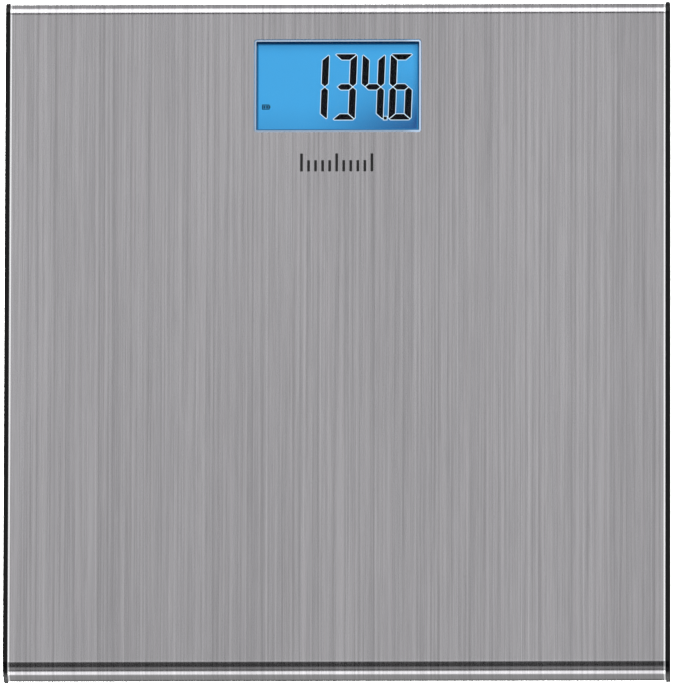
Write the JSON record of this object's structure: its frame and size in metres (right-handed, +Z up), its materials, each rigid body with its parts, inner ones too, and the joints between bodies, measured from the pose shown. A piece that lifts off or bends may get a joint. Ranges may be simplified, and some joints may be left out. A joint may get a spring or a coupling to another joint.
{
  "type": "digital bathroom scale",
  "caption": "Flat square bathroom scale with a brushed steel platform, black end caps, a backlit blue display window and load-cell feet.",
  "frame": {"origin": "on the floor, under the centre of the platform", "axes": "+Z up out of the platform, +Y from the person's heels towards the display, +X to the person's right"},
  "size_m": [0.31, 0.3216, 0.035],
  "materials": {
    "brushed_steel": "long straight brushing from back to front, satin",
    "black_gloss_cap": "glossy moulded",
    "carrier_plastic": "moulded, fine grain",
    "base_plastic": "moulded, fine leather-like grain",
    "foot_plastic": "moulded, satin",
    "foot_rubber": "soft non-slip rubber",
    "cell_steel": "ground alloy steel",
    "bracket_plastic": "moulded",
    "silicone": "cured silicone",
    "window_clear": "clear moulded acrylic with a polished bevel",
    "adhesive": "double-sided tape",
    "gasket_foam": "closed-cell foam",
    "lcd_face": "backlit liquid crystal with dark segments",
    "lcd_glass": "clear glass",
    "light_guide": "clear light guide, blue lamps",
    "tray_plastic": "white moulded",
    "contact_rubber": "layered conductive rubber",
    "board_green": "solder resist over laminate",
    "component_black": "moulded epoxy",
    "component_grey": "plated cans",
    "port_plastic": "natural nylon",
    "battery_wrap": "printed wrap, plain",
    "contact_metal": "nickel-plated spring steel",
    "button_plastic": "moulded, satin",
    "lead_sheath": "grey vinyl sheath",
    "lead_red": "red vinyl sheath",
    "lead_black": "black vinyl sheath",
    "screw_steel": "zinc-plated steel"
  },
  "bodies": {
    "housing": {"platform_skin": "brushed_steel", "side_cap_left": "black_gloss_cap", "side_cap_right": "black_gloss_cap", "platform_carrier": "carrier_plastic", "base_cover": "base_plastic", "load_cell_front_left": "cell_steel", "load_cell_front_right": "cell_steel", "load_cell_back_left": "cell_steel", "load_cell_back_right": "cell_steel", "cell_bracket_front_left": "bracket_plastic", "cell_bracket_front_right": "bracket_plastic", "cell_bracket_back_left": "bracket_plastic", "cell_bracket_back_right": "bracket_plastic", "gauge_potting": "silicone", "window_lens": "window_clear", "lens_tape": "adhesive", "display_gasket": "gasket_foam", "lcd_glass_front": "lcd_face", "lcd_glass_rear": "lcd_glass", "backlight_guide": "light_guide", "backlight_leds": "light_guide", "display_frame": "tray_plastic", "zebra_strip": "contact_rubber", "circuit_board": "board_green", "switch_board": "board_green", "controller_chip": "component_black", "unit_switch": "component_black", "board_components": "component_grey", "lead_ports": "port_plastic", "battery_1": "battery_wrap", "battery_2": "battery_wrap", "battery_3": "battery_wrap", "battery_contacts": "contact_metal", "battery_springs": "contact_metal", "cell_lead_front_left": "lead_sheath", "cell_lead_front_right": "lead_sheath", "cell_lead_back_left": "lead_sheath", "cell_lead_back_right": "lead_sheath", "switch_lead": "lead_sheath", "battery_lead_positive": "lead_red", "battery_lead_negative": "lead_black", "base_screws": "screw_steel", "bracket_screws": "screw_steel", "board_screws": "screw_steel", "switch_screws": "screw_steel"},
    "foot_front_left": {"foot_cup_front_left": "foot_plastic", "foot_pad_front_left": "foot_rubber"},
    "foot_front_right": {"foot_cup_front_right": "foot_plastic", "foot_pad_front_right": "foot_rubber"},
    "foot_back_left": {"foot_cup_back_left": "foot_plastic", "foot_pad_back_left": "foot_rubber"},
    "foot_back_right": {"foot_cup_back_right": "foot_plastic", "foot_pad_back_right": "foot_rubber"},
    "battery_door": {"battery_door": "base_plastic"},
    "unit_button": {"unit_button": "button_plastic", "switch_plunger": "button_plastic"}
  },
  "joints": [
    {"name": "foot_front_left_press", "type": "slide", "parent": "housing", "child": "foot_front_left", "axis": [0, 0, 1], "range_m": [0, 0.0006], "stiffness_N_per_m": 800000, "deforming": ["load_cell_front_left"]},
    {"name": "foot_front_right_press", "type": "slide", "parent": "housing", "child": "foot_front_right", "axis": [0, 0, 1], "range_m": [0, 0.0006], "stiffness_N_per_m": 800000, "deforming": ["load_cell_front_right"]},
    {"name": "foot_back_left_press", "type": "slide", "parent": "housing", "child": "foot_back_left", "axis": [0, 0, 1], "range_m": [0, 0.0006], "stiffness_N_per_m": 800000, "deforming": ["load_cell_back_left"]},
    {"name": "foot_back_right_press", "type": "slide", "parent": "housing", "child": "foot_back_right", "axis": [0, 0, 1], "range_m": [0, 0.0006], "stiffness_N_per_m": 800000, "deforming": ["load_cell_back_right"]},
    {"name": "battery_door_hinge", "type": "hinge", "parent": "housing", "child": "battery_door", "pos_m": [0, 0.06355, 0.01], "axis": [1, 0, 0], "range_deg": [0, 85]},
    {"name": "unit_button_press", "type": "slide", "parent": "housing", "child": "unit_button", "axis": [0, 0, 1], "range_m": [0, 0.0008], "stiffness_N_per_m": 2500, "springref_m": -0.0004}
  ]
}
